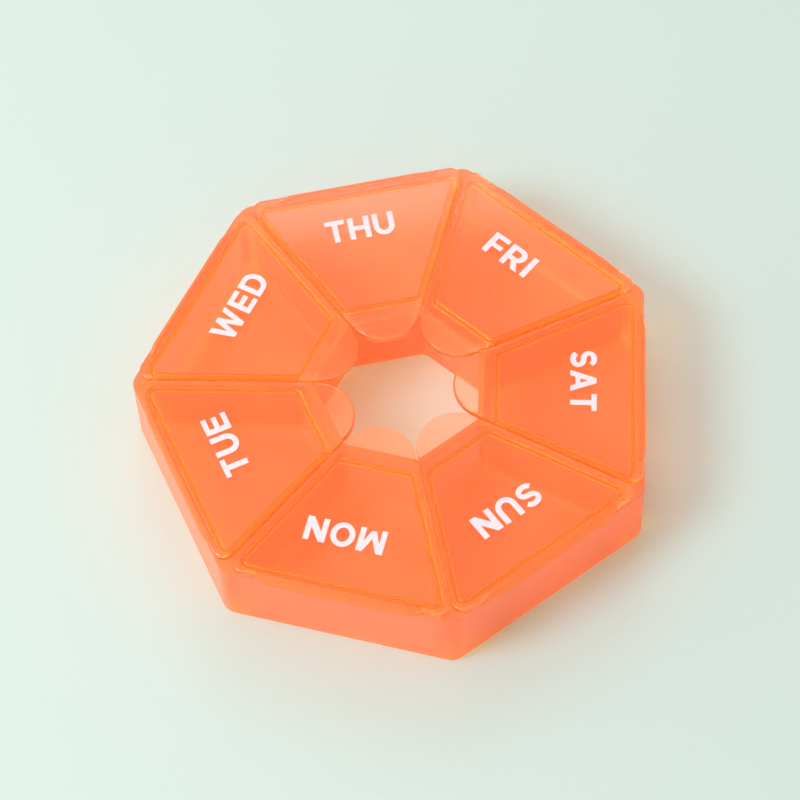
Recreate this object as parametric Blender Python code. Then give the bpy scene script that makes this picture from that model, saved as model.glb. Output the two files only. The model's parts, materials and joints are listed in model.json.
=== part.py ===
"""Weekly pill box: a seven-sided ring tray with one hinged lid for each day.

Metres, +Z up. Monday's side faces -Y, and the origin is the middle of the footprint, on the table.
Each piece is drawn in one plan: x runs outward from the ring's centre through the middle of a side.
"""

import math

import bmesh
import bpy
from mathutils import Matrix

# The days in the order of their sides, turning from -Y towards +X
DAYS = ("monday", "sunday", "saturday", "friday", "thursday", "wednesday", "tuesday")

# Tray
RIM_CIRCUMRADIUS = 0.0512
RIM_HEIGHT = 0.0164
CORNER_RADIUS = 0.0034
OUTER_DRAFT = 0.0001
FOOT_RADIUS = 0.0005
OUTER_WALL = 0.0012
INNER_WALL = 0.0012
DIVIDER_WALL = 0.0012
FLOOR_THICKNESS = 0.0012
HOLE_CIRCUMRADIUS = 0.0164
HOLE_DRAFT = 0.0009
HOLE_CORNER_RADIUS = 0.0012
POCKET_DRAFT = 0.0003
POCKET_CORNER_RADIUS = 0.0021
POCKET_FLOOR_RADIUS = 0.0013

# Lids
LID_REST_GAP = 0.0003
LID_THICKNESS = 0.0013
LID_SLIT = 0.0004
LID_SETBACK = 0.0002
LID_CORNER_RADIUS = 0.0021
LID_EDGE_RADIUS = 0.0005
TAB_REACH = 0.0100
RIB_DEPTH = 0.0017
RIB_THICKNESS = 0.0009
RIB_CLEARANCE = 0.0004
RIB_INNER_SETBACK = 0.0012
RIB_LEAD_IN = 0.0003

# Living hinges
HINGE_END_MARGIN = 0.0065
HINGE_BULGE = 0.0003
HINGE_WEB = 0.0006
HINGE_WEB_RADIUS = 0.0005
HINGE_GAP = 0.0003

# One overrun serves every cut and every joined rib
OVERRUN = 0.0004

# Steps in a quarter turn, or in a corner
CORNER_STEPS = 6
EDGE_STEPS = 3
TAB_STEPS = 22

SIDES = len(DAYS)
HALF_SECTOR = math.pi / SIDES
QUARTER = math.pi / 2
SMOOTH_ANGLE = math.radians(32)


def apothem(circumradius):
    return circumradius * math.cos(HALF_SECTOR)


RIM_APOTHEM = apothem(RIM_CIRCUMRADIUS)
HOLE_APOTHEM = apothem(HOLE_CIRCUMRADIUS)
HINGE_REACH = RIM_APOTHEM + HINGE_BULGE
HINGE_HALF = RIM_CIRCUMRADIUS * math.sin(HALF_SECTOR) - HINGE_END_MARGIN
HINGE_HEIGHT = RIM_HEIGHT + LID_REST_GAP / 2
LID_BASE = RIM_HEIGHT + LID_REST_GAP
LID_TOP = LID_BASE + LID_THICKNESS
LID_REACH = RIM_APOTHEM - LID_SETBACK
CORNER_REACH = RIM_CIRCUMRADIUS - CORNER_RADIUS * (1 / math.cos(HALF_SECTOR) - 1)
CENTRE_Y = (HINGE_REACH - CORNER_REACH) / 2


def side_angle(index):
    """Heading of a side's outward normal."""
    return index * 2 * HALF_SECTOR - QUARTER


def arc(centre_x, centre_y, radius, start, end, steps):
    """Points from the start angle to the end angle, both included."""
    points = []
    for step in range(steps + 1):
        turn = start + (end - start) * step / steps
        points.append((centre_x + radius * math.cos(turn), centre_y + radius * math.sin(turn)))
    return points


def wedge_half_width(x, side_gap):
    """Half the width, at x, of a sector whose sides are drawn in by side_gap."""
    return x * math.tan(HALF_SECTOR) - side_gap / math.cos(HALF_SECTOR)


def heptagon(flat_distance, corner_radius):
    """The ring's own outline: straight sides at flat_distance from the centre, round corners."""
    centre_distance = (flat_distance - corner_radius) / math.cos(HALF_SECTOR)
    points = []
    for index in range(SIDES):
        middle = side_angle(index) + HALF_SECTOR
        centre_x = centre_distance * math.cos(middle)
        centre_y = centre_distance * math.sin(middle)
        start = middle - HALF_SECTOR
        end = middle + HALF_SECTOR
        points += arc(centre_x, centre_y, corner_radius, start, end, CORNER_STEPS)
    return points


def wedge(inner, outer, side_gap, inner_radius, outer_radius):
    """A trapezoid between two dividers, with its corners rounded."""
    lean = QUARTER + HALF_SECTOR
    inner_x = inner + inner_radius
    outer_x = outer - outer_radius
    inner_y = wedge_half_width(inner, side_gap) - inner_radius * math.tan((math.pi - lean) / 2)
    outer_y = wedge_half_width(outer_x, side_gap + outer_radius)
    points = arc(outer_x, -outer_y, outer_radius, -lean, 0, CORNER_STEPS)
    points += arc(outer_x, outer_y, outer_radius, 0, lean, CORNER_STEPS)
    points += arc(inner_x, inner_y, inner_radius, lean, math.pi, CORNER_STEPS)
    points += arc(inner_x, -inner_y, inner_radius, math.pi, 2 * math.pi - lean, CORNER_STEPS)
    return points


def at_height(outline, height):
    return [(x, y, height) for x, y in outline]


def rounded_edge(outline_at, radius, height, upward):
    """Outlines that round off an edge: outline_at gives the outline drawn in by its argument."""
    rings = []
    for step in range(EDGE_STEPS + 1):
        turn = QUARTER * step / EDGE_STEPS
        inset = radius * (1 - math.cos(turn))
        rise = radius * math.sin(turn)
        rings.append(at_height(outline_at(inset), height + rise if upward else height - rise))
    return rings if upward else rings[::-1]


def bridge(mesh, lower, upper):
    """Faces between two loops that each hold the same number of points."""
    count = len(lower)
    for index in range(count):
        after = (index + 1) % count
        mesh.faces.new((lower[index], lower[after], upper[after], upper[index]))


def mesh_from(name, rings, closed_loop=False):
    """A solid through a stack of outlines. As a closed loop, the last outline meets the first."""
    shape = bmesh.new()
    loops = [[shape.verts.new(point) for point in ring] for ring in rings]
    for lower, upper in zip(loops, loops[1:]):
        bridge(shape, lower, upper)
    if closed_loop:
        bridge(shape, loops[-1], loops[0])
    else:
        shape.faces.new(loops[0][::-1])
        shape.faces.new(loops[-1])
    bmesh.ops.recalc_face_normals(shape, faces=shape.faces)
    mesh = bpy.data.meshes.new(name)
    shape.to_mesh(mesh)
    shape.free()
    return mesh


def add_object(name, mesh):
    thing = bpy.data.objects.new(name, mesh)
    bpy.context.scene.collection.objects.link(thing)
    return thing


def add_helper(name, mesh):
    """A cutter or a joined rib: used by a Boolean and never drawn."""
    helper = add_object(name, mesh)
    helper.hide_render = True
    helper.display_type = "WIRE"
    return helper


def add_boolean(thing, helper, operation):
    modifier = thing.modifiers.new(helper.name, "BOOLEAN")
    modifier.object = helper
    modifier.operation = operation
    modifier.solver = "EXACT"


def smooth(mesh):
    mesh.shade_smooth()
    mesh.set_sharp_from_angle(angle=SMOOTH_ANGLE)


def make_material(name, colour, roughness):
    material = bpy.data.materials.new(name)
    material.use_nodes = True
    shader = material.node_tree.nodes["Principled BSDF"]
    shader.inputs["Base Color"].default_value = (*colour, 1)
    shader.inputs["Roughness"].default_value = roughness
    shader.inputs["Metallic"].default_value = 0
    material.diffuse_color = (*colour, 1)
    return material


def tray_body():
    """The outside of the tray: upright walls that draw in a little towards a rounded foot."""
    foot_distance = RIM_APOTHEM - OUTER_DRAFT

    def foot(inset):
        return heptagon(foot_distance - inset, CORNER_RADIUS - inset)

    rings = rounded_edge(foot, FOOT_RADIUS, FOOT_RADIUS, upward=False)
    rings.append(at_height(heptagon(RIM_APOTHEM, CORNER_RADIUS), RIM_HEIGHT))
    return mesh_from("tray", rings)


def hole_cutter():
    """The seven-sided hole through the middle, wider at the foot."""
    rim = heptagon(HOLE_APOTHEM, HOLE_CORNER_RADIUS)
    foot = heptagon(HOLE_APOTHEM + HOLE_DRAFT, HOLE_CORNER_RADIUS)
    rings = [
        at_height(foot, -OVERRUN),
        at_height(foot, 0),
        at_height(rim, RIM_HEIGHT),
        at_height(rim, RIM_HEIGHT + OVERRUN),
    ]
    return mesh_from("hole_cutter", rings)


def pocket_outline(inset, inner_inset):
    """A compartment from above. Its inner wall leans with the hole, so it has an inset of its own."""
    inner = HOLE_APOTHEM + INNER_WALL + inner_inset
    outer = RIM_APOTHEM - OUTER_WALL - inset
    side_gap = DIVIDER_WALL / 2 + inset
    return wedge(inner, outer, side_gap, POCKET_CORNER_RADIUS, POCKET_CORNER_RADIUS)


def pocket_cutter():
    """One compartment: a round-cornered wedge with a rounded floor edge."""

    def floor_outline(inset):
        return pocket_outline(POCKET_DRAFT + inset, HOLE_DRAFT + inset)

    mouth = pocket_outline(0, 0)
    floor_edge = FLOOR_THICKNESS + POCKET_FLOOR_RADIUS
    rings = rounded_edge(floor_outline, POCKET_FLOOR_RADIUS, floor_edge, upward=False)
    rings.append(at_height(mouth, RIM_HEIGHT))
    rings.append(at_height(mouth, RIM_HEIGHT + OVERRUN))
    return mesh_from("pocket_cutter", rings)


def make_tray(plastic):
    tray = add_object("tray", tray_body())
    tray.data.materials.append(plastic)
    tray.location = (0, CENTRE_Y, 0)
    hole = add_helper("hole_cutter", hole_cutter())
    hole.location = tray.location
    add_boolean(tray, hole, "DIFFERENCE")
    pocket_mesh = pocket_cutter()
    for index, day in enumerate(DAYS):
        pocket = add_helper(f"pocket_cutter_{day}", pocket_mesh)
        pocket.location = tray.location
        pocket.rotation_euler = (0, 0, side_angle(index))
        add_boolean(tray, pocket, "DIFFERENCE")
    smooth(tray.data)


def lid_outline(inset):
    """A lid from above: a wedge whose inner end is one round thumb tab, notched for its hinge web."""
    side_gap = LID_SLIT / 2 + inset
    outer = LID_REACH - inset
    corner = LID_CORNER_RADIUS - inset
    lean = QUARTER + HALF_SECTOR
    tab_centre = (TAB_REACH - LID_SLIT / 2) / (1 - math.sin(HALF_SECTOR))
    tab_radius = tab_centre * math.sin(HALF_SECTOR) - side_gap
    corner_x = outer - corner
    corner_y = wedge_half_width(corner_x, side_gap + corner)
    notch_half = HINGE_HALF + HINGE_GAP + inset
    notch_x = HINGE_REACH - HINGE_WEB - HINGE_GAP - inset
    points = arc(tab_centre, 0, tab_radius, lean, 2 * math.pi - lean, TAB_STEPS)
    points += arc(corner_x, -corner_y, corner, -lean, 0, CORNER_STEPS)
    points += [(outer, -notch_half), (notch_x, -notch_half), (notch_x, notch_half), (outer, notch_half)]
    points += arc(corner_x, corner_y, corner, 0, lean, CORNER_STEPS)
    return points


def lid_plate():
    rings = [at_height(lid_outline(0), LID_BASE)]
    rings += rounded_edge(lid_outline, LID_EDGE_RADIUS, LID_TOP - LID_EDGE_RADIUS, upward=True)
    return mesh_from("lid_plate", rings)


def rib_outline(inset):
    """The plug rib's outline drawn in by inset. Its outer face clears the tray's walls."""
    side_gap = DIVIDER_WALL / 2 + RIB_CLEARANCE
    inner = HOLE_APOTHEM + INNER_WALL + RIB_INNER_SETBACK
    outer = RIM_APOTHEM - OUTER_WALL - RIB_CLEARANCE
    radius = POCKET_CORNER_RADIUS - RIB_CLEARANCE - inset
    return wedge(inner + inset, outer - inset, side_gap + inset, radius, radius)


def plug_rib():
    """The rib that plugs into the compartment: a closed ring with a lead-in at its lower edge."""
    root = LID_BASE + OVERRUN
    tip = LID_BASE - RIB_DEPTH
    rings = [
        at_height(rib_outline(0), root),
        at_height(rib_outline(0), tip + RIB_LEAD_IN),
        at_height(rib_outline(RIB_LEAD_IN), tip),
        at_height(rib_outline(RIB_THICKNESS), tip),
        at_height(rib_outline(RIB_THICKNESS), root),
    ]
    return mesh_from("plug_rib", rings, closed_loop=True)


def lid_mesh():
    """Plate and plug rib as one body, measured from the hinge line."""
    plate = add_helper("lid_plate", lid_plate())
    rib = add_helper("plug_rib", plug_rib())
    add_boolean(plate, rib, "UNION")
    bpy.context.view_layer.update()
    joined = plate.evaluated_get(bpy.context.evaluated_depsgraph_get())
    mesh = bpy.data.meshes.new_from_object(joined)
    mesh.name = "lid"
    bpy.data.objects.remove(plate)
    bpy.data.objects.remove(rib)
    return from_hinge_line(mesh)


def from_hinge_line(mesh):
    mesh.transform(Matrix.Translation((-HINGE_REACH, 0, -HINGE_HEIGHT)))
    smooth(mesh)
    return mesh


def web_outline(inset):
    """The hinge web from above: a thin strip whose outer face and ends are drawn in by inset."""
    inner = HINGE_REACH - HINGE_WEB
    outer = HINGE_REACH - inset
    half = HINGE_HALF - inset
    return [(inner, -half), (outer, -half), (outer, half), (inner, half)]


def web_mesh():
    """The folded web: upright against the lid's edge, rounded over at the top."""
    rings = [at_height(web_outline(0), LID_BASE)]
    rings += rounded_edge(web_outline, HINGE_WEB_RADIUS, LID_TOP - HINGE_WEB_RADIUS, upward=True)
    return from_hinge_line(mesh_from("hinge_web", rings))


def make_lids(lid_plastic, web_plastic):
    """Each lid and its web hang from an empty that lies on the hinge line."""
    lid = lid_mesh()
    lid.materials.append(lid_plastic)
    web = web_mesh()
    web.materials.append(web_plastic)
    for index, day in enumerate(DAYS):
        heading = side_angle(index)
        hinge = add_object(f"hinge_line_{day}", None)
        across = HINGE_REACH * math.cos(heading)
        along = CENTRE_Y + HINGE_REACH * math.sin(heading)
        hinge.location = (across, along, HINGE_HEIGHT)
        hinge.rotation_euler = (0, 0, heading)
        for piece in (add_object(f"lid_{day}", lid), add_object(f"hinge_web_{day}", web)):
            piece.parent = hinge


def main():
    for thing in list(bpy.data.objects):
        bpy.data.objects.remove(thing)
    make_tray(make_material("tray_plastic", (0.95, 0.26, 0.09), 0.25))
    lid_plastic = make_material("lid_plastic", (0.98, 0.23, 0.07), 0.22)
    web_plastic = make_material("web_plastic", (0.96, 0.30, 0.11), 0.28)
    make_lids(lid_plastic, web_plastic)


main()
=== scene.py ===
"""Weekly pill box in translucent plastic: ring tray, seven lids, their living hinges and day names.

Metres, +Z up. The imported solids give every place. Each piece is drawn in one plan, where x runs outward
from the ring's centre through the middle of a side, and Geometry Nodes then turn it to its day's side.
"""

import json
import math

import bmesh
import bpy
from mathutils import Matrix, Vector


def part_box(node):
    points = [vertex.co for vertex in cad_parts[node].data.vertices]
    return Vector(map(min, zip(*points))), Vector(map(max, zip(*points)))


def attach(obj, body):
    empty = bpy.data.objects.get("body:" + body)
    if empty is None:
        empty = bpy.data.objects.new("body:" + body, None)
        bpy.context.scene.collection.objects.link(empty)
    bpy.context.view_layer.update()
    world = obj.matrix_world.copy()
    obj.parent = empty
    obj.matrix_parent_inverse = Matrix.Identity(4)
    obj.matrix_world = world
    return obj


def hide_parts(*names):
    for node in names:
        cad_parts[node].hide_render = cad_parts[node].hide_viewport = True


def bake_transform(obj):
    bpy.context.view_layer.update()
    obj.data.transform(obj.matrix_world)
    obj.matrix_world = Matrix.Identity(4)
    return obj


bl_info = {
    "name": "Weekly Pill Box",
    "version": (1, 0, 0),
    "blender": (4, 5, 0),
    "location": "3D View > Sidebar > Pill Box",
    "description": "Models a seven-sided weekly pill box in translucent plastic",
    "category": "Add Mesh",
}

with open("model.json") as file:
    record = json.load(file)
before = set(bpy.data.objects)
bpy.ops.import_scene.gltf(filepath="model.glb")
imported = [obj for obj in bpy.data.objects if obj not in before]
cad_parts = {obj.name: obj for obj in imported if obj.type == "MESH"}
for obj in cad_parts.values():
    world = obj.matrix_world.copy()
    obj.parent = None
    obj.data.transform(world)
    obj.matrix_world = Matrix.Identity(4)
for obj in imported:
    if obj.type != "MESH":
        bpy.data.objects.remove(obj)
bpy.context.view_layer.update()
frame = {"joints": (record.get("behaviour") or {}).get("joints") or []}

# One hinge for each day, in the order of their sides
HINGES = frame["joints"]
DAYS = [hinge["name"].removesuffix("_hinge") for hinge in HINGES]
SIDES = len(DAYS)
HALF_SECTOR = math.pi / SIDES
QUARTER = math.pi / 2

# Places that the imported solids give
HINGE_POINTS = [Vector(hinge["pos_m"]) for hinge in HINGES]
RING_CENTRE = Vector((0, sum(point.y for point in HINGE_POINTS) / SIDES, 0))
FIRST_HEADING = math.atan2(HINGE_POINTS[0].y - RING_CENTRE.y, HINGE_POINTS[0].x)
HINGE_REACH = RING_CENTRE.y - HINGE_POINTS[0].y
HINGE_HEIGHT = HINGE_POINTS[0].z
TRAY_LOW, TRAY_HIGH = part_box("tray")
LID_LOW, LID_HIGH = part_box("lid_" + DAYS[0])
WEB_LOW, WEB_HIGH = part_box("hinge_web_" + DAYS[0])
RIM_APOTHEM = RING_CENTRE.y - TRAY_LOW.y
RIM_HEIGHT = TRAY_HIGH.z
LID_REACH = RING_CENTRE.y - LID_LOW.y
TAB_REACH = RING_CENTRE.y - LID_HIGH.y
LID_BASE = WEB_LOW.z
LID_TOP = LID_HIGH.z
RIB_LOW = LID_LOW.z
HINGE_HALF = WEB_HIGH.x

# Steps in a corner, on an edge and round a tab
CORNER_STEPS = 8
EDGE_STEPS = 5
TAB_STEPS = 64
WEB_END_STEPS = 10
LETTER_STEPS = 24
MERGE_DISTANCE = 0.000002

# The print starts this far above the lid, so that the two faces don't share a place
INK_LIFT = 0.000005

# Below a lid's plate, its rib's tint deepens over this height
RIB_FADE = 0.0001

# Height that is left at the two ends of a living hinge, as a share
WEB_END_SHARE = 0.45

# The living hinge's section: how fast it thins to its tips, leaves the wall and rises over the lid's edge
WEB_STEPS = 3 * EDGE_STEPS
WEB_THIN_POWER = 0.5
WEB_LEAVE_POWER = 0.6
WEB_RISE_POWER = 0.8

# How strongly level faces outweigh the rounded edges in the normals, in per cent
FLAT_WEIGHT = 100

# Gloss of the plastic
PLASTIC_IOR = 1.4
COAT = 0.4
COAT_BLUR = 0.06

# The print's and the floor's roughness, and the size and height of the print's unevenness
INK_ROUGHNESS = 0.4
INK_WAVE = 0.0006
INK_WAVE_HEIGHT = 0.00001
FLOOR_ROUGHNESS = 0.6
FLOOR_WAVE = 0.02

# Half the floor's side, and how far the floor stays below the box
FLOOR_HALF = 1.5
FLOOR_DROP = 0.0001

# The two lamps' places and sizes
KEY_PLACE = (-0.479, -0.364, 0.66)
KEY_SIZE = 0.36
FILL_PLACE = (-0.20, 0.62, 0.62)
FILL_SIZE = 0.4
WHITE = (1, 1, 1)

# Letters are drawn in shares of their height: uprights, level bars and the gap between two letters
UPRIGHT = 0.25
BAR = 0.2
LETTER_GAP = 0.15
STRAIGHT_LETTERS = {
    "A": (
        ((0, 0), (0.27, 0), (0.352, 0.2), (0.728, 0.2), (0.81, 0), (1.08, 0), (0.67, 1), (0.41, 1)),
        ((0.426, 0.38), (0.654, 0.38), (0.54, 0.66)),
    ),
    "E": (
        ((0, 0), (0.8, 0), (0.8, BAR), (UPRIGHT, BAR), (UPRIGHT, 0.4), (0.74, 0.4), (0.74, 0.6),
         (UPRIGHT, 0.6), (UPRIGHT, 1 - BAR), (0.78, 1 - BAR), (0.78, 1), (0, 1)),
    ),
    "F": (
        ((0, 0), (UPRIGHT, 0), (UPRIGHT, 0.36), (0.7, 0.36), (0.7, 0.56), (UPRIGHT, 0.56),
         (UPRIGHT, 1 - BAR), (0.76, 1 - BAR), (0.76, 1), (0, 1)),
    ),
    "H": (
        ((0, 0), (UPRIGHT, 0), (UPRIGHT, 0.4), (0.7, 0.4), (0.7, 0), (0.95, 0), (0.95, 1), (0.7, 1),
         (0.7, 0.6), (UPRIGHT, 0.6), (UPRIGHT, 1), (0, 1)),
    ),
    "I": (
        ((0, 0), (UPRIGHT, 0), (UPRIGHT, 1), (0, 1)),
    ),
    "M": (
        ((0, 0), (0.24, 0), (0.24, 0.56), (0.48, 0.08), (0.68, 0.08), (0.92, 0.56), (0.92, 0), (1.16, 0),
         (1.16, 1), (0.88, 1), (0.58, 0.42), (0.28, 1), (0, 1)),
    ),
    "N": (
        ((0, 0), (UPRIGHT, 0), (UPRIGHT, 0.56), (0.68, 0), (0.95, 0), (0.95, 1), (0.7, 1), (0.7, 0.44),
         (0.27, 1), (0, 1)),
    ),
    "T": (
        ((0.305, 0), (0.555, 0), (0.555, 1 - BAR), (0.86, 1 - BAR), (0.86, 1), (0, 1), (0, 1 - BAR),
         (0.305, 1 - BAR)),
    ),
    "W": (
        ((0.3, 0), (0.52, 0), (0.72, 0.6), (0.92, 0), (1.14, 0), (1.44, 1), (1.18, 1), (1.02, 0.38),
         (0.83, 1), (0.61, 1), (0.42, 0.38), (0.26, 1), (0, 1)),
    ),
}

# Where each name is printed: letters' width, distance from the ring's centre, and shift along the side
NAME_PLACES = {
    "monday": (0.0152, 0.0341, -0.0016),
    "sunday": (0.0139, 0.0340, -0.0008),
    "saturday": (0.0131, 0.0346, 0.0008),
    "friday": (0.0105, 0.0352, 0.0020),
    "thursday": (0.0134, 0.0357, 0.0009),
    "wednesday": (0.0156, 0.0353, -0.0012),
    "tuesday": (0.0135, 0.0352, -0.0013),
}


def length(name, default, description):
    return bpy.props.FloatProperty(
        name=name, description=description, default=default, min=0, unit="LENGTH", precision=5
    )


def colour(name, default, description):
    return bpy.props.FloatVectorProperty(
        name=name, description=description, default=default, size=3, min=0, max=1, subtype="COLOR"
    )


def angle(name, degrees, description):
    return bpy.props.FloatProperty(
        name=name, description=description, default=math.radians(degrees), subtype="ANGLE"
    )


def amount(name, default, description):
    return bpy.props.FloatProperty(name=name, description=description, default=default, min=0)


def share(name, default, description):
    return bpy.props.FloatProperty(
        name=name, description=description, default=default, min=0, max=1, subtype="FACTOR"
    )


class PillBoxSizes(bpy.types.PropertyGroup):
    """Walls, radii and clearances of the box, which its outer sizes don't give"""

    outer_wall: length("Outer wall", 0.0012, "Thickness of the wall round the ring")
    inner_wall: length("Inner wall", 0.0012, "Thickness of the wall round the hole")
    divider_wall: length("Divider", 0.0012, "Thickness of the wall between two compartments")
    floor_thickness: length("Floor", 0.0012, "Thickness under the compartments")
    rim_corner: length("Rim corner", 0.0034, "Radius of the ring's seven corners")
    outer_draft: length("Outer draft", 0.0001, "How far the outer wall draws in towards its foot")
    foot_radius: length("Foot radius", 0.0005, "Radius of the edge that the box stands on")
    rim_edge: length("Rim edge", 0.00018, "Radius of the edges of the rim and the compartments")
    hole_circumradius: length("Hole radius", 0.0164, "From the ring's centre to a corner of the hole")
    hole_corner: length("Hole corner", 0.0012, "Radius of the hole's seven corners")
    hole_draft: length("Hole draft", 0.0009, "How far the hole widens towards the foot")
    pocket_draft: length("Compartment draft", 0.0003, "How far a compartment narrows towards its floor")
    pocket_corner: length("Compartment corner", 0.0021, "Radius of a compartment's corners")
    pocket_floor: length("Floor radius", 0.0013, "Radius between a compartment's walls and its floor")
    lid_slit: length("Slit", 0.0004, "Gap between two lids")
    lid_corner: length("Lid corner", 0.0021, "Radius of a lid's outer corners")
    lid_edge: length("Lid edge", 0.0005, "Radius of a lid's upper edge")
    lid_under_edge: length("Lid lower edge", 0.00015, "Radius of a lid's lower edge")
    rib_thickness: length("Rib thickness", 0.0009, "Thickness of the rib that plugs a compartment")
    rib_clearance: length("Rib clearance", 0.0004, "Gap between the rib and the compartment's walls")
    rib_setback: length("Rib setback", 0.0018, "Gap between the rib and the inner wall")
    rib_rise: length("Rib rise", 0.0006, "How far the rib's tip stays above the packed rib's tip")
    rib_lead: length("Rib lead-in", 0.0003, "Radius of the rib's lower edges")
    rib_root: length("Rib root", 0.0001, "Fillet between a lid's plate and its rib")
    web_skin: length("Web thickness", 0.0004, "Thickness of a living hinge")
    web_foot: length("Web foot", 0.0009, "How far a living hinge runs down the wall, from the hinge line")
    web_root: length("Web root", 0.0007, "How far a living hinge runs onto the lid, from the wall's face")
    web_end: length("Web end", 0.0028, "Length over which a living hinge sinks into the wall at its ends")
    web_sink: length("Web sink", 0.00035, "How far the ends of a living hinge sink into the wall")
    name_height: length("Letter height", 0.0050, "Height of the printed letters")
    ink: length("Ink", 0.000025, "Thickness of the print")


class PillBoxFinish(bpy.types.PropertyGroup):
    """Colours and finish of the plastic, the print and the floor"""

    tray_tint: colour("Tray tint", (1.0, 0.69, 0.83), "Tint of light that crosses the tray at any depth")
    lid_tint: colour("Lid tint", (1.0, 0.85, 0.98), "Tint of light that crosses a lid at any depth")
    depth_tint: colour("Depth tint", (1.0, 0.93, 0.02), "Colour that light takes on inside the plastic")
    depth: amount("Depth", 234, "How fast light takes on the depth tint, for each metre")
    tray_haze: colour("Tray haze", (1.0, 0.46, 0.27), "Colour of the milkiness in the tray")
    tray_haze_share: share("Tray haze share", 0.41, "Share of light that the tray scatters at each face")
    lid_haze: colour("Lid haze", (1.0, 0.33, 0.0), "Colour of the milkiness in the lids")
    lid_haze_share: share("Lid haze share", 0.07, "Share of light that a lid scatters at each face")
    web_haze: colour("Web haze", (1.0, 0.57, 0.2), "Colour of the milkiness in the living hinges")
    web_haze_share: share("Web haze share", 0.6, "Share of light that a living hinge scatters at each face")
    haze_behind: share("Haze forward", 0.35, "Share of the scattered light that goes on through")
    web_haze_behind: share("Web haze forward", 0.75, "The same share in a thin living hinge")
    glow: colour("Glow", (0.085, 0.007, 0.0), "Orange that the pigment gives back of the light it takes in")
    lamp_pass: colour("Lamp pass", (0.82, 0.71, 0.71), "Share of a lamp's light that crosses each face")
    tray_roughness: amount("Tray roughness", 0.25, "Blur of what is seen through the tray")
    lid_roughness: amount("Lid roughness", 0.12, "Blur of what is seen through a lid")
    rib_tint: colour("Rib tint", (1.0, 0.62, 0.04), "Tint of light that crosses a lid's plug rib")
    rib_roughness: amount("Rib roughness", 0.50, "Blur of what is seen through a plug rib")
    web_roughness: amount("Web roughness", 0.35, "Blur of what is seen through a living hinge")
    ink: colour("Ink", (0.88, 0.77, 0.79), "Colour of the printed names")
    floor: colour("Floor", (0.65, 0.77, 0.71), "Colour of the floor")


class PillBoxView(bpy.types.PropertyGroup):
    """The camera, measured round the ring, and the lights"""

    azimuth: angle("Azimuth", -17.19, "Heading of the view, from +Y towards +X")
    elevation: angle("Elevation", 59.87, "How far the view looks down")
    roll: angle("Roll", -2.99, "Turn of the picture about the line of sight")
    target: bpy.props.FloatVectorProperty(
        name="Target", description="Point in the middle of the picture",
        default=(-0.00060, -0.00099, 0.009), size=3, unit="LENGTH", precision=5
    )
    distance: length("Distance", 0.69219, "From the camera to the target")
    focal: bpy.props.FloatProperty(
        name="Focal length", description="Focal length in millimetres", default=162.81, min=1
    )
    sensor: bpy.props.FloatProperty(
        name="Sensor", description="Sensor width in millimetres", default=36, min=1
    )
    key_power: amount("Key light", 4.2, "Power of the key light, in watts")
    fill_power: amount("Fill light", 0.87, "Power of the fill light, in watts")
    bright_side: amount("Bright side", 0.95, "Strength of the surroundings on the key light's side")
    dim_side: amount("Dim side", 0.34, "Strength of the surroundings on the other side")


# Outlines in plan


def arc(centre_x, centre_y, radius, start, end, steps):
    """Points from the start angle to the end angle, both included."""
    points = []
    for step in range(steps + 1):
        turn = start + (end - start) * step / steps
        points.append((centre_x + radius * math.cos(turn), centre_y + radius * math.sin(turn)))
    return points


def wedge_half_width(x, side_gap):
    """Half the width, at x, of a sector whose sides are drawn in by side_gap."""
    return x * math.tan(HALF_SECTOR) - side_gap / math.cos(HALF_SECTOR)


def wedge(inner, outer, side_gap, radius):
    """A trapezoid between two dividers, with its corners rounded."""
    lean = QUARTER + HALF_SECTOR
    inner_x = inner + radius
    outer_x = outer - radius
    inner_y = wedge_half_width(inner, side_gap) - radius * math.tan((math.pi - lean) / 2)
    outer_y = wedge_half_width(outer_x, side_gap + radius)
    points = arc(outer_x, -outer_y, radius, -lean, 0, CORNER_STEPS)
    points += arc(outer_x, outer_y, radius, 0, lean, CORNER_STEPS)
    points += arc(inner_x, inner_y, radius, lean, math.pi, CORNER_STEPS)
    points += arc(inner_x, -inner_y, radius, math.pi, 2 * math.pi - lean, CORNER_STEPS)
    return points


def side_chain(flat_distance, corner_radius):
    """One side of a seven-sided outline, from the middle of one corner to the middle of the next."""
    centre_distance = (flat_distance - corner_radius) / math.cos(HALF_SECTOR)
    centre_x = centre_distance * math.cos(HALF_SECTOR)
    centre_y = centre_distance * math.sin(HALF_SECTOR)
    points = arc(centre_x, -centre_y, corner_radius, -HALF_SECTOR, 0, CORNER_STEPS)
    points += arc(centre_x, centre_y, corner_radius, 0, HALF_SECTOR, CORNER_STEPS)
    return points


def outer_chain(inset):
    """One side of the ring, drawn in by inset."""
    corner = bpy.context.scene.pill_box_sizes.rim_corner
    return side_chain(RIM_APOTHEM - inset, corner - inset)


def hole_chain(inset):
    """One side of the hole, drawn back into the plastic by inset."""
    sizes = bpy.context.scene.pill_box_sizes
    apothem = sizes.hole_circumradius * math.cos(HALF_SECTOR)
    return side_chain(apothem + inset, sizes.hole_corner + inset)


def pocket_outline(inset, inner_inset):
    """A compartment, drawn in by inset. Its inner wall leans with the hole, so it has its own inset."""
    sizes = bpy.context.scene.pill_box_sizes
    inner = sizes.hole_circumradius * math.cos(HALF_SECTOR) + sizes.inner_wall + inner_inset
    outer = RIM_APOTHEM - sizes.outer_wall - inset
    return wedge(inner, outer, sizes.divider_wall / 2 + inset, sizes.pocket_corner)


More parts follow.
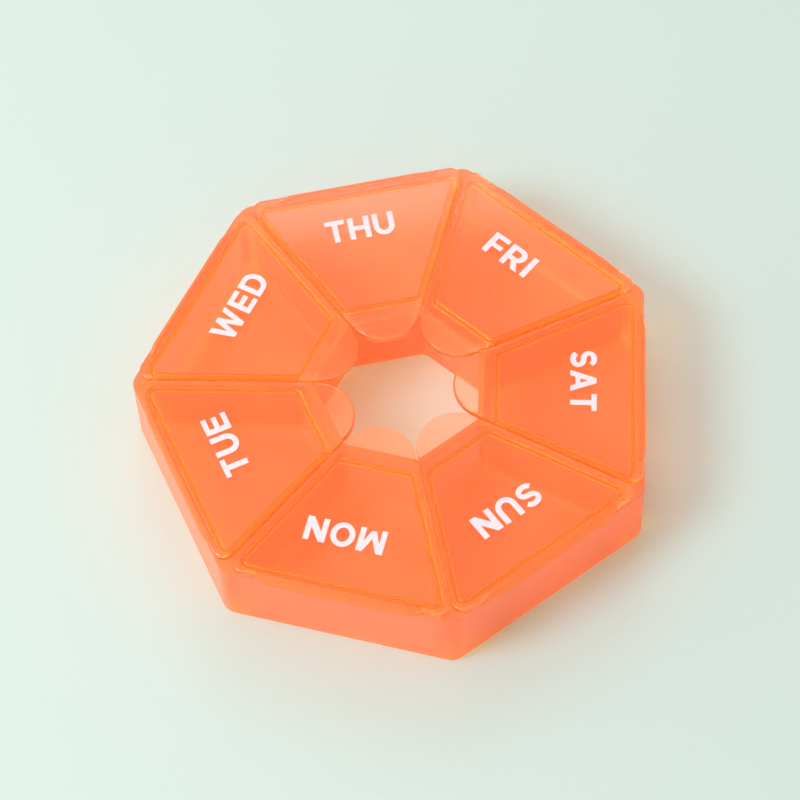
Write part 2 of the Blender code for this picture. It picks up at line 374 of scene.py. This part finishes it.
def lid_outline(inset):
    """A lid: a wedge whose inner end is one round thumb tab."""
    sizes = bpy.context.scene.pill_box_sizes
    side_gap = sizes.lid_slit / 2 + inset
    corner = sizes.lid_corner - inset
    lean = QUARTER + HALF_SECTOR
    tab_centre = (TAB_REACH - sizes.lid_slit / 2) / (1 - math.sin(HALF_SECTOR))
    tab_radius = tab_centre * math.sin(HALF_SECTOR) - side_gap
    corner_x = LID_REACH - inset - corner
    corner_y = wedge_half_width(corner_x, side_gap + corner)
    points = arc(tab_centre, 0, tab_radius, lean, 2 * math.pi - lean, TAB_STEPS)
    points += arc(corner_x, -corner_y, corner, -lean, 0, CORNER_STEPS)
    points += arc(corner_x, corner_y, corner, 0, lean, CORNER_STEPS)
    return points


def rib_outline(inset):
    """The plug rib, drawn in by inset from its outer face."""
    sizes = bpy.context.scene.pill_box_sizes
    hole_apothem = sizes.hole_circumradius * math.cos(HALF_SECTOR)
    inner = hole_apothem + sizes.inner_wall + sizes.rib_setback + inset
    outer = RIM_APOTHEM - sizes.outer_wall - sizes.rib_clearance - inset
    side_gap = sizes.divider_wall / 2 + sizes.rib_clearance + inset
    return wedge(inner, outer, side_gap, sizes.pocket_corner - sizes.rib_clearance - inset)


# Mesh building


def at_height(outline, height):
    return [(x, y, height) for x, y in outline]


def rounded_rows(outline_at, inset, height, inset_radius, height_radius):
    """Rows round a quarter of an edge, from the upright face at inset to the level face.

    A negative inset_radius rounds towards the outside, and a negative height_radius downwards.
    """
    rows = []
    for step in range(EDGE_STEPS + 1):
        turn = QUARTER * step / EDGE_STEPS
        drawn_in = inset + inset_radius * (1 - math.cos(turn))
        rows.append(at_height(outline_at(drawn_in), height + height_radius * math.sin(turn)))
    return rows


def add_rows(shape, rows):
    return [[shape.verts.new(point) for point in row] for row in rows]


def join_rows(shape, rows, closed):
    """Faces between each row and the next."""
    for lower, upper in zip(rows, rows[1:]):
        count = len(lower)
        for index in range(count if closed else count - 1):
            after = (index + 1) % count
            shape.faces.new((lower[index], lower[after], upper[after], upper[index]))


def border(shape, loop):
    """The edges round a closed loop of points, made where they are missing."""
    edges = []
    for first, second in zip(loop, loop[1:] + loop[:1]):
        found = shape.edges.get((first, second))
        edges.append(found if found else shape.edges.new((first, second)))
    return edges


def fill_level(shape, loops):
    """A level face with the first loop as its border and the others as holes."""
    edges = [edge for loop in loops for edge in border(shape, loop)]
    bmesh.ops.triangle_fill(shape, use_beauty=True, use_dissolve=False, edges=edges)


def finished_mesh(shape, name):
    bmesh.ops.recalc_face_normals(shape, faces=shape.faces)
    mesh = bpy.data.meshes.new(name)
    shape.to_mesh(mesh)
    shape.free()
    mesh.shade_smooth()
    return mesh


def tray_sector_mesh():
    """A seventh of the tray: one compartment with its stretch of each wall."""
    sizes = bpy.context.scene.pill_box_sizes
    edge = sizes.rim_edge
    foot = sizes.foot_radius
    shape = bmesh.new()

    outer_rows = rounded_rows(outer_chain, sizes.outer_draft, foot, foot, -foot)[::-1]
    outer_rows += rounded_rows(outer_chain, 0, RIM_HEIGHT - edge, edge, edge)
    hole_rows = rounded_rows(hole_chain, sizes.hole_draft, edge, edge, -edge)[::-1]
    hole_rows += rounded_rows(hole_chain, 0, RIM_HEIGHT - edge, edge, edge)

    def mouth(inset):
        return pocket_outline(inset, inset)

    def floor_edge(inset):
        return pocket_outline(sizes.pocket_draft + inset, sizes.hole_draft + inset)

    radius = sizes.pocket_floor
    pocket_rows = rounded_rows(mouth, 0, RIM_HEIGHT - edge, -edge, edge)[::-1]
    pocket_rows += rounded_rows(floor_edge, 0, sizes.floor_thickness + radius, radius, -radius)

    outer = add_rows(shape, outer_rows)
    hole = add_rows(shape, hole_rows)
    pocket = add_rows(shape, pocket_rows)
    join_rows(shape, outer, closed=False)
    join_rows(shape, hole, closed=False)
    join_rows(shape, pocket, closed=True)
    shape.faces.new(pocket[-1])
    fill_level(shape, [outer[-1] + hole[-1][::-1], pocket[0]])
    fill_level(shape, [outer[0] + hole[0][::-1]])
    return finished_mesh(shape, "tray_sector")


def lid_mesh():
    """Plate, tab and plug rib as one body."""
    sizes = bpy.context.scene.pill_box_sizes
    under = sizes.lid_under_edge
    lead = sizes.rib_lead
    tip = RIB_LOW + sizes.rib_rise
    root = sizes.rib_root
    inner_face = sizes.rib_thickness
    shape = bmesh.new()

    plate_rows = rounded_rows(lid_outline, 0, LID_BASE + under, under, -under)[::-1]
    plate_rows += rounded_rows(lid_outline, 0, LID_TOP - sizes.lid_edge, sizes.lid_edge, sizes.lid_edge)
    rib_rows = rounded_rows(rib_outline, 0, LID_BASE - root, -root, root)[::-1]
    rib_rows += rounded_rows(rib_outline, 0, tip + lead, lead, -lead)
    rib_rows += rounded_rows(rib_outline, inner_face, tip + lead, -lead, -lead)[::-1]
    rib_rows += rounded_rows(rib_outline, inner_face, LID_BASE - root, root, root)

    plate = add_rows(shape, plate_rows)
    rib = add_rows(shape, rib_rows)
    join_rows(shape, plate, closed=True)
    join_rows(shape, rib, closed=True)
    shape.faces.new(plate[-1])
    shape.faces.new(rib[-1])
    fill_level(shape, [plate[0], rib[0]])
    return finished_mesh(shape, "lid")


def web_profile():
    """The living hinge in section: up the wall, out round the lid's edge and onto the lid."""
    sizes = bpy.context.scene.pill_box_sizes
    low = HINGE_HEIGHT - sizes.web_foot
    tall = LID_TOP - low
    deep = HINGE_REACH - (LID_REACH - sizes.web_root)
    outer = []
    inner = []
    for step in range(WEB_STEPS + 1):
        done = step / WEB_STEPS
        turn = QUARTER * done
        thick = sizes.web_skin * math.sin(math.pi * done) ** WEB_THIN_POWER
        across = HINGE_REACH - deep * (1 - math.cos(turn) ** WEB_LEAVE_POWER)
        height = low + tall * math.sin(turn) ** WEB_RISE_POWER
        outer.append((across, height))
        inner.append((across - thick * math.cos(turn), height - thick * math.sin(turn)))
    return outer + inner[-2:0:-1]


def web_mesh():
    """The living hinge as a closed strip that sinks into the wall towards its two ends."""
    sizes = bpy.context.scene.pill_box_sizes
    profile = web_profile()
    stations = []
    for step in range(WEB_END_STEPS + 1):
        done = step / WEB_END_STEPS
        eased = done * done * (3 - 2 * done)
        stations.append((sizes.web_end * done - HINGE_HALF, 1 - eased))
    stations += [(-along, sunk) for along, sunk in stations[::-1]]
    shape = bmesh.new()
    rows = []
    for along, sunk in stations:
        low = 1 - sunk * (1 - WEB_END_SHARE)
        row = []
        for x, z in profile:
            row.append((x - sizes.web_sink * sunk, along, HINGE_HEIGHT + (z - HINGE_HEIGHT) * low))
        rows.append(row)
    strips = add_rows(shape, rows)
    join_rows(shape, strips, closed=True)
    shape.faces.new(strips[0])
    shape.faces.new(strips[-1])
    return finished_mesh(shape, "hinge_web")


def bend(centre, across, up, start, end):
    """Points on an oval from one angle to another, in degrees."""
    points = []
    for step in range(LETTER_STEPS + 1):
        turn = math.radians(start + (end - start) * step / LETTER_STEPS)
        points.append((centre[0] + across * math.cos(turn), centre[1] + up * math.sin(turn)))
    return points


def stroke(path, thickness):
    """The outline of an even stroke along a path."""
    left = []
    right = []
    for index, (x, y) in enumerate(path):
        before = Vector(path[max(index - 1, 0)])
        after = Vector(path[min(index + 1, len(path) - 1)])
        side = (after - before).orthogonal().normalized() * thickness / 2
        left.append((x + side.x, y + side.y))
        right.append((x - side.x, y - side.y))
    return left + right[::-1]


def letter_outlines(letter):
    """The border of a letter and its holes, standing on 0 and 1 high."""
    if letter == "O":
        return [
            bend((0.53, 0.5), 0.53, 0.515, 0, 360)[:-1],
            bend((0.53, 0.5), 0.28, 0.3, 0, 360)[:-1],
        ]
    if letter == "D":
        return [
            [(0, 0)] + bend((0.46, 0.5), 0.5, 0.5, -90, 90) + [(0, 1)],
            [(UPRIGHT, BAR)] + bend((0.44, 0.5), 0.27, 0.5 - BAR, -90, 90) + [(UPRIGHT, 1 - BAR)],
        ]
    if letter == "R":
        leg = [(0, 0), (UPRIGHT, 0), (UPRIGHT, 0.33), (0.36, 0.33), (0.62, 0), (0.92, 0)]
        return [
            leg + bend((0.53, 0.67), 0.34, 0.33, -72, 90) + [(0, 1)],
            [(UPRIGHT, 0.53)] + bend((0.5, 0.67), 0.12, 0.14, -90, 90) + [(UPRIGHT, 0.81)],
        ]
    if letter == "U":
        outside = bend((0.47, 0.42), 0.47, 0.435, 180, 360)
        inside = bend((0.47, 0.42), 0.22, 0.22, 360, 180)
        return [[(0, 1)] + outside + [(0.94, 1), (0.69, 1)] + inside + [(UPRIGHT, 1)]]
    if letter == "S":
        upper = bend((0.41, 0.7), 0.3, 0.2, 25, 262)
        lower = bend((0.41, 0.3), 0.31, 0.2, 82, -155)
        return [stroke(upper + lower, 0.22)]
    return [list(outline) for outline in STRAIGHT_LETTERS[letter]]


def name_mesh(day):
    """The first three letters of a day, as thin solids on the lid."""
    sizes = bpy.context.scene.pill_box_sizes
    width, reach, shift = NAME_PLACES[day]
    letters = []
    across = 0
    for letter in day[:3].upper():
        outlines = letter_outlines(letter)
        first = min(x for x, y in outlines[0])
        last = max(x for x, y in outlines[0])
        letters.append([[(x - first + across, y) for x, y in outline] for outline in outlines])
        across += last - first + LETTER_GAP
    whole = across - LETTER_GAP
    shape = bmesh.new()
    for outlines in letters:
        ends = []
        for outline in outlines:
            plan = []
            for x, y in outline:
                plan.append((reach + (y - 0.5) * sizes.name_height, shift - (x / whole - 0.5) * width))
            ends.append(add_rows(shape, [at_height(plan, LID_TOP + lift) for lift in (INK_LIFT, sizes.ink)]))
            join_rows(shape, ends[-1], closed=True)
        fill_level(shape, [rows[0] for rows in ends])
        fill_level(shape, [rows[1] for rows in ends])
    mesh = finished_mesh(shape, day + "_name")
    mesh.shade_flat()
    return mesh


# Geometry Nodes


def ring_copies_tree():
    """Copies of one drawn piece, each turned to its side of the ring, joined where they meet."""
    tree = bpy.data.node_groups.get("Ring copies")
    if tree:
        return tree
    tree = bpy.data.node_groups.new("Ring copies", "GeometryNodeTree")
    face = tree.interface
    face.new_socket("Geometry", in_out="INPUT", socket_type="NodeSocketGeometry")
    for name, kind in (
        ("Sides", "NodeSocketInt"),
        ("First side", "NodeSocketInt"),
        ("Copies", "NodeSocketInt"),
        ("First heading", "NodeSocketFloat"),
        ("Ring centre", "NodeSocketVector"),
        ("Merge distance", "NodeSocketFloat"),
        ("Plastic", "NodeSocketMaterial"),
    ):
        face.new_socket(name, in_out="INPUT", socket_type=kind)
    face.new_socket("Geometry", in_out="OUTPUT", socket_type="NodeSocketGeometry")

    nodes = tree.nodes
    links = tree.links
    given = nodes.new("NodeGroupInput")
    result = nodes.new("NodeGroupOutput")
    places = nodes.new("GeometryNodePoints")
    index = nodes.new("GeometryNodeInputIndex")
    side = nodes.new("ShaderNodeMath")
    side.operation = "ADD"
    sector = nodes.new("ShaderNodeMath")
    sector.operation = "DIVIDE"
    sector.inputs[0].default_value = 2 * math.pi
    heading = nodes.new("ShaderNodeMath")
    heading.operation = "MULTIPLY_ADD"
    turn = nodes.new("ShaderNodeCombineXYZ")
    rotation = nodes.new("FunctionNodeEulerToRotation")
    instances = nodes.new("GeometryNodeInstanceOnPoints")
    realize = nodes.new("GeometryNodeRealizeInstances")
    merge = nodes.new("GeometryNodeMergeByDistance")
    paint = nodes.new("GeometryNodeSetMaterial")

    links.new(given.outputs["Copies"], places.inputs["Count"])
    links.new(given.outputs["Ring centre"], places.inputs["Position"])
    links.new(index.outputs[0], side.inputs[0])
    links.new(given.outputs["First side"], side.inputs[1])
    links.new(given.outputs["Sides"], sector.inputs[1])
    links.new(side.outputs[0], heading.inputs[0])
    links.new(sector.outputs[0], heading.inputs[1])
    links.new(given.outputs["First heading"], heading.inputs[2])
    links.new(heading.outputs[0], turn.inputs["Z"])
    links.new(turn.outputs[0], rotation.inputs[0])
    links.new(places.outputs[0], instances.inputs["Points"])
    links.new(given.outputs["Geometry"], instances.inputs["Instance"])
    links.new(rotation.outputs[0], instances.inputs["Rotation"])
    links.new(instances.outputs[0], realize.inputs[0])
    links.new(realize.outputs[0], merge.inputs["Geometry"])
    links.new(given.outputs["Merge distance"], merge.inputs["Distance"])
    links.new(merge.outputs[0], paint.inputs["Geometry"])
    links.new(given.outputs["Plastic"], paint.inputs["Material"])
    links.new(paint.outputs[0], result.inputs[0])
    return tree


def set_input(modifier, name, value):
    """Sets a modifier's input by the identifier of its socket."""
    for item in modifier.node_group.interface.items_tree:
        if item.in_out == "INPUT" and item.name == name:
            modifier[item.identifier] = value


def ring_piece(name, mesh, first, copies, plastic):
    """A plain mesh object made of copies of mesh, from the first side on."""
    piece = bpy.data.objects.new(name, mesh)
    bpy.context.scene.collection.objects.link(piece)
    modifier = piece.modifiers.new("Ring copies", "NODES")
    modifier.node_group = ring_copies_tree()
    set_input(modifier, "Sides", SIDES)
    set_input(modifier, "First side", first)
    set_input(modifier, "Copies", copies)
    set_input(modifier, "First heading", FIRST_HEADING)
    set_input(modifier, "Ring centre", RING_CENTRE)
    set_input(modifier, "Merge distance", MERGE_DISTANCE)
    set_input(modifier, "Plastic", plastic)
    bpy.context.view_layer.update()
    evaluated = piece.evaluated_get(bpy.context.evaluated_depsgraph_get())
    plain = bpy.data.meshes.new_from_object(evaluated)
    plain.name = name
    piece.modifiers.remove(modifier)
    piece.data = plain
    return piece


def keep_flats_flat(piece):
    """Normals weighed by area, so that level faces stay level up to their rounded edges."""
    modifier = piece.modifiers.new("Flat faces", "WEIGHTED_NORMAL")
    modifier.mode = "FACE_AREA"
    modifier.weight = FLAT_WEIGHT


# Materials


def new_material(name):
    material = bpy.data.materials.new(name)
    material.use_nodes = True
    return material, material.node_tree.nodes, material.node_tree.links


def moulded_surface_group():
    """Soft unevenness of moulded plastic: a wavy normal and a roughness that drifts."""
    group = bpy.data.node_groups.get("Moulded surface")
    if group:
        return group
    group = bpy.data.node_groups.new("Moulded surface", "ShaderNodeTree")
    face = group.interface
    for name, value in (
        ("Roughness", 0.25),
        ("Roughness drift", 0.05),
        ("Wave size", 0.012),
        ("Wave height", 0.00001),
    ):
        socket = face.new_socket(name, in_out="INPUT", socket_type="NodeSocketFloat")
        socket.default_value = value
    face.new_socket("Roughness", in_out="OUTPUT", socket_type="NodeSocketFloat")
    face.new_socket("Normal", in_out="OUTPUT", socket_type="NodeSocketVector")
    nodes = group.nodes
    links = group.links
    given = nodes.new("NodeGroupInput")
    result = nodes.new("NodeGroupOutput")
    place = nodes.new("ShaderNodeTexCoord")
    scale = nodes.new("ShaderNodeMath")
    scale.operation = "DIVIDE"
    scale.inputs[0].default_value = 1
    waves = nodes.new("ShaderNodeTexNoise")
    waves.inputs["Detail"].default_value = 1
    bump = nodes.new("ShaderNodeBump")
    drift = nodes.new("ShaderNodeMapRange")
    low = nodes.new("ShaderNodeMath")
    low.operation = "SUBTRACT"
    high = nodes.new("ShaderNodeMath")
    high.operation = "ADD"
    links.new(given.outputs["Wave size"], scale.inputs[1])
    links.new(place.outputs["Object"], waves.inputs["Vector"])
    links.new(scale.outputs[0], waves.inputs["Scale"])
    links.new(waves.outputs["Fac"], bump.inputs["Height"])
    links.new(given.outputs["Wave height"], bump.inputs["Distance"])
    links.new(given.outputs["Roughness"], low.inputs[0])
    links.new(given.outputs["Roughness drift"], low.inputs[1])
    links.new(given.outputs["Roughness"], high.inputs[0])
    links.new(given.outputs["Roughness drift"], high.inputs[1])
    links.new(waves.outputs["Fac"], drift.inputs["Value"])
    links.new(low.outputs[0], drift.inputs["To Min"])
    links.new(high.outputs[0], drift.inputs["To Max"])
    links.new(drift.outputs[0], result.inputs["Roughness"])
    links.new(bump.outputs[0], result.inputs["Normal"])
    return group


def translucent_plastic(name, tint, roughness, haze_colour, haze_share):
    """Tinted plastic that light passes: it deepens with thickness, holds a haze and lets lamps through."""
    finish = bpy.context.scene.pill_box_finish
    material, nodes, links = new_material(name)
    output = nodes["Material Output"]
    shader = nodes["Principled BSDF"]
    shader.inputs["Base Color"].default_value = (*tint, 1)
    shader.inputs["Metallic"].default_value = 0
    shader.inputs["IOR"].default_value = PLASTIC_IOR
    shader.inputs["Transmission Weight"].default_value = 1
    shader.inputs["Coat Weight"].default_value = COAT
    shader.inputs["Coat Roughness"].default_value = COAT_BLUR
    surface = nodes.new("ShaderNodeGroup")
    surface.name = "Moulded surface"
    surface.node_tree = moulded_surface_group()
    surface.inputs["Roughness"].default_value = roughness
    links.new(surface.outputs["Roughness"], shader.inputs["Roughness"])
    links.new(surface.outputs["Normal"], shader.inputs["Normal"])

    front_haze = nodes.new("ShaderNodeBsdfDiffuse")
    front_haze.inputs["Color"].default_value = (*haze_colour, 1)
    back_haze = nodes.new("ShaderNodeBsdfTranslucent")
    back_haze.inputs["Color"].default_value = (*haze_colour, 1)
    haze = nodes.new("ShaderNodeMixShader")
    haze.name = "Haze"
    haze.inputs["Fac"].default_value = finish.haze_behind
    links.new(front_haze.outputs[0], haze.inputs[1])
    links.new(back_haze.outputs[0], haze.inputs[2])
    body = nodes.new("ShaderNodeMixShader")
    body.inputs["Fac"].default_value = haze_share
    links.new(shader.outputs[0], body.inputs[1])
    links.new(haze.outputs[0], body.inputs[2])
    glow = nodes.new("ShaderNodeBsdfDiffuse")
    glow.inputs["Color"].default_value = (*finish.glow, 1)
    glowing = nodes.new("ShaderNodeAddShader")
    links.new(body.outputs[0], glowing.inputs[0])
    links.new(glow.outputs[0], glowing.inputs[1])

    light_path = nodes.new("ShaderNodeLightPath")
    clear = nodes.new("ShaderNodeBsdfTransparent")
    clear.inputs["Color"].default_value = (*finish.lamp_pass, 1)
    mix = nodes.new("ShaderNodeMixShader")
    links.new(light_path.outputs["Is Shadow Ray"], mix.inputs["Fac"])
    links.new(glowing.outputs[0], mix.inputs[1])
    links.new(clear.outputs[0], mix.inputs[2])
    links.new(mix.outputs[0], output.inputs["Surface"])
    depth = nodes.new("ShaderNodeVolumeAbsorption")
    depth.inputs["Color"].default_value = (*finish.depth_tint, 1)
    depth.inputs["Density"].default_value = finish.depth
    links.new(depth.outputs[0], output.inputs["Volume"])
    return material


def tint_ribs(plastic):
    """Deepens the tint and the blur below a lid's plate, where its plug rib is."""
    finish = bpy.context.scene.pill_box_finish
    nodes = plastic.node_tree.nodes
    links = plastic.node_tree.links
    shader = nodes["Principled BSDF"]
    surface = nodes["Moulded surface"]
    place = nodes.new("ShaderNodeTexCoord")
    parts = nodes.new("ShaderNodeSeparateXYZ")
    rib = nodes.new("ShaderNodeMapRange")
    rib.inputs["From Min"].default_value = LID_BASE
    rib.inputs["From Max"].default_value = LID_BASE - RIB_FADE
    tint = nodes.new("ShaderNodeMix")
    tint.data_type = "RGBA"
    tint.inputs["A"].default_value = (*finish.lid_tint, 1)
    tint.inputs["B"].default_value = (*finish.rib_tint, 1)
    blur = nodes.new("ShaderNodeMapRange")
    blur.inputs["To Min"].default_value = finish.lid_roughness
    blur.inputs["To Max"].default_value = finish.rib_roughness
    links.new(place.outputs["Object"], parts.inputs[0])
    links.new(parts.outputs["Z"], rib.inputs["Value"])
    links.new(rib.outputs[0], tint.inputs["Factor"])
    links.new(rib.outputs[0], blur.inputs["Value"])
    links.new(tint.outputs["Result"], shader.inputs["Base Color"])
    links.new(blur.outputs[0], surface.inputs["Roughness"])


def print_ink():
    finish = bpy.context.scene.pill_box_finish
    material, nodes, links = new_material("print_ink")
    shader = nodes["Principled BSDF"]
    shader.inputs["Base Color"].default_value = (*finish.ink, 1)
    shader.inputs["Metallic"].default_value = 0
    surface = nodes.new("ShaderNodeGroup")
    surface.node_tree = moulded_surface_group()
    surface.inputs["Roughness"].default_value = INK_ROUGHNESS
    surface.inputs["Wave size"].default_value = INK_WAVE
    surface.inputs["Wave height"].default_value = INK_WAVE_HEIGHT
    links.new(surface.outputs["Roughness"], shader.inputs["Roughness"])
    links.new(surface.outputs["Normal"], shader.inputs["Normal"])
    return material


def floor_paint():
    finish = bpy.context.scene.pill_box_finish
    material, nodes, links = new_material("floor_paint")
    shader = nodes["Principled BSDF"]
    shader.inputs["Base Color"].default_value = (*finish.floor, 1)
    surface = nodes.new("ShaderNodeGroup")
    surface.node_tree = moulded_surface_group()
    surface.inputs["Roughness"].default_value = FLOOR_ROUGHNESS
    surface.inputs["Wave size"].default_value = FLOOR_WAVE
    links.new(surface.outputs["Roughness"], shader.inputs["Roughness"])
    links.new(surface.outputs["Normal"], shader.inputs["Normal"])
    return material


# Operators


class PILLBOX_OT_tray(bpy.types.Operator):
    """Add the ring tray with its seven compartments"""

    bl_idname = "pill_box.tray"
    bl_label = "Tray"

    def execute(self, context):
        finish = context.scene.pill_box_finish
        plastic = translucent_plastic(
            "translucent_tray", finish.tray_tint, finish.tray_roughness,
            finish.tray_haze, finish.tray_haze_share
        )
        tray = ring_piece("tray_shell", tray_sector_mesh(), 0, SIDES, plastic)
        keep_flats_flat(tray)
        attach(tray, "tray")
        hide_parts("tray")
        return {"FINISHED"}


class PILLBOX_OT_lids(bpy.types.Operator):
    """Add a lid with its thumb tab and plug rib to each day's compartment"""

    bl_idname = "pill_box.lids"
    bl_label = "Lids"

    def execute(self, context):
        finish = context.scene.pill_box_finish
        plastic = translucent_plastic(
            "translucent_lid", finish.lid_tint, finish.lid_roughness,
            finish.lid_haze, finish.lid_haze_share
        )
        tint_ribs(plastic)
        mesh = lid_mesh()
        for index, day in enumerate(DAYS):
            lid = ring_piece(day + "_lid", mesh, index, 1, plastic)
            keep_flats_flat(lid)
            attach(lid, "lid_" + day)
            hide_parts("lid_" + day)
        return {"FINISHED"}


class PILLBOX_OT_hinge_webs(bpy.types.Operator):
    """Add the living hinge that joins each lid to the tray"""

    bl_idname = "pill_box.hinge_webs"
    bl_label = "Living hinges"

    def execute(self, context):
        finish = context.scene.pill_box_finish
        plastic = translucent_plastic(
            "translucent_web", finish.tray_tint, finish.web_roughness,
            finish.web_haze, finish.web_haze_share
        )
        spread = plastic.node_tree.nodes["Haze"]
        spread.inputs["Fac"].default_value = finish.web_haze_behind
        mesh = web_mesh()
        for index, day in enumerate(DAYS):
            web = ring_piece(day + "_hinge_web", mesh, index, 1, plastic)
            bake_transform(web)
            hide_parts("hinge_web_" + day)
        return {"FINISHED"}


class PILLBOX_OT_day_names(bpy.types.Operator):
    """Print each day's short name on its lid"""

    bl_idname = "pill_box.day_names"
    bl_label = "Day names"

    def execute(self, context):
        ink = print_ink()
        for index, day in enumerate(DAYS):
            name = ring_piece(day + "_name", name_mesh(day), index, 1, ink)
            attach(name, "lid_" + day)
        return {"FINISHED"}


class PILLBOX_OT_stage(bpy.types.Operator):
    """Add the floor, the lights, the surroundings and the camera"""

    bl_idname = "pill_box.stage"
    bl_label = "Stage"

    def execute(self, context):
        add_floor()
        add_lights(context.scene.pill_box_view)
        add_surroundings(context.scene.pill_box_view)
        add_camera(context.scene.pill_box_view)
        context.scene.view_settings.view_transform = "Standard"
        return {"FINISHED"}


def add_floor():
    shape = bmesh.new()
    corners = ((-1, -1), (1, -1), (1, 1), (-1, 1))
    shape.faces.new([shape.verts.new((x * FLOOR_HALF, y * FLOOR_HALF, -FLOOR_DROP)) for x, y in corners])
    floor = bpy.data.objects.new("floor", finished_mesh(shape, "floor"))
    bpy.context.scene.collection.objects.link(floor)
    floor.data.materials.append(floor_paint())


def aim(thing, target):
    thing.rotation_euler = (Vector(target) - thing.location).to_track_quat("-Z", "Y").to_euler()


def add_area_light(name, place, size, power, tint):
    lamp = bpy.data.lights.new(name, "AREA")
    lamp.shape = "DISK"
    lamp.size = size
    lamp.energy = power
    lamp.color = tint
    thing = bpy.data.objects.new(name, lamp)
    bpy.context.scene.collection.objects.link(thing)
    thing.location = place
    aim(thing, (0, 0, 0))


def add_lights(view):
    add_area_light("key", KEY_PLACE, KEY_SIZE, view.key_power, WHITE)
    add_area_light("fill", FILL_PLACE, FILL_SIZE, view.fill_power, WHITE)


def add_surroundings(view):
    """Pale light from all round, stronger on the key light's side than on the other."""
    world = bpy.data.worlds.new("surroundings")
    bpy.context.scene.world = world
    world.use_nodes = True
    nodes = world.node_tree.nodes
    links = world.node_tree.links
    direction = nodes.new("ShaderNodeTexCoord")
    parts = nodes.new("ShaderNodeSeparateXYZ")
    fall = nodes.new("ShaderNodeMapRange")
    fall.inputs["From Min"].default_value = -1
    fall.inputs["To Min"].default_value = view.bright_side
    fall.inputs["To Max"].default_value = view.dim_side
    links.new(direction.outputs["Generated"], parts.inputs[0])
    links.new(parts.outputs["X"], fall.inputs["Value"])
    links.new(fall.outputs[0], nodes["Background"].inputs["Strength"])
    nodes["Background"].inputs["Color"].default_value = (*WHITE, 1)


def add_camera(view):
    forward = Vector((
        math.sin(view.azimuth) * math.cos(view.elevation),
        math.cos(view.azimuth) * math.cos(view.elevation),
        -math.sin(view.elevation),
    ))
    level = Vector((math.cos(view.azimuth), -math.sin(view.azimuth), 0))
    upright = level.cross(forward)
    right = level * math.cos(view.roll) + upright * math.sin(view.roll)
    up = upright * math.cos(view.roll) - level * math.sin(view.roll)
    lens = bpy.data.cameras.new("camera")
    lens.lens = view.focal
    lens.sensor_width = view.sensor
    camera = bpy.data.objects.new("camera", lens)
    bpy.context.scene.collection.objects.link(camera)
    turned = Matrix((right, up, -forward)).transposed().to_4x4()
    camera.matrix_world = Matrix.Translation(Vector(view.target) - forward * view.distance) @ turned
    bpy.context.scene.camera = camera


class PILLBOX_PT_panel(bpy.types.Panel):
    """The pieces of the box, and its sizes and colours"""

    bl_idname = "PILLBOX_PT_panel"
    bl_label = "Weekly Pill Box"
    bl_space_type = "VIEW_3D"
    bl_region_type = "UI"
    bl_category = "Pill Box"

    def draw(self, context):
        layout = self.layout
        for operator in PIECE_OPERATORS:
            layout.operator(operator.bl_idname)
        scene = context.scene
        for group in (scene.pill_box_sizes, scene.pill_box_finish, scene.pill_box_view):
            box = layout.box()
            for name in group.__annotations__:
                box.prop(group, name)


PIECE_OPERATORS = (
    PILLBOX_OT_tray,
    PILLBOX_OT_lids,
    PILLBOX_OT_hinge_webs,
    PILLBOX_OT_day_names,
    PILLBOX_OT_stage,
)
CLASSES = (PillBoxSizes, PillBoxFinish, PillBoxView, *PIECE_OPERATORS, PILLBOX_PT_panel)


def register():
    for thing in CLASSES:
        bpy.utils.register_class(thing)
    bpy.types.Scene.pill_box_sizes = bpy.props.PointerProperty(type=PillBoxSizes)
    bpy.types.Scene.pill_box_finish = bpy.props.PointerProperty(type=PillBoxFinish)
    bpy.types.Scene.pill_box_view = bpy.props.PointerProperty(type=PillBoxView)


def unregister():
    del bpy.types.Scene.pill_box_view
    del bpy.types.Scene.pill_box_finish
    del bpy.types.Scene.pill_box_sizes
    for thing in reversed(CLASSES):
        bpy.utils.unregister_class(thing)


def main():
    register()
    bpy.ops.pill_box.tray()
    bpy.ops.pill_box.lids()
    bpy.ops.pill_box.hinge_webs()
    bpy.ops.pill_box.day_names()
    bpy.ops.pill_box.stage()


if __name__ == "__main__":
    main()
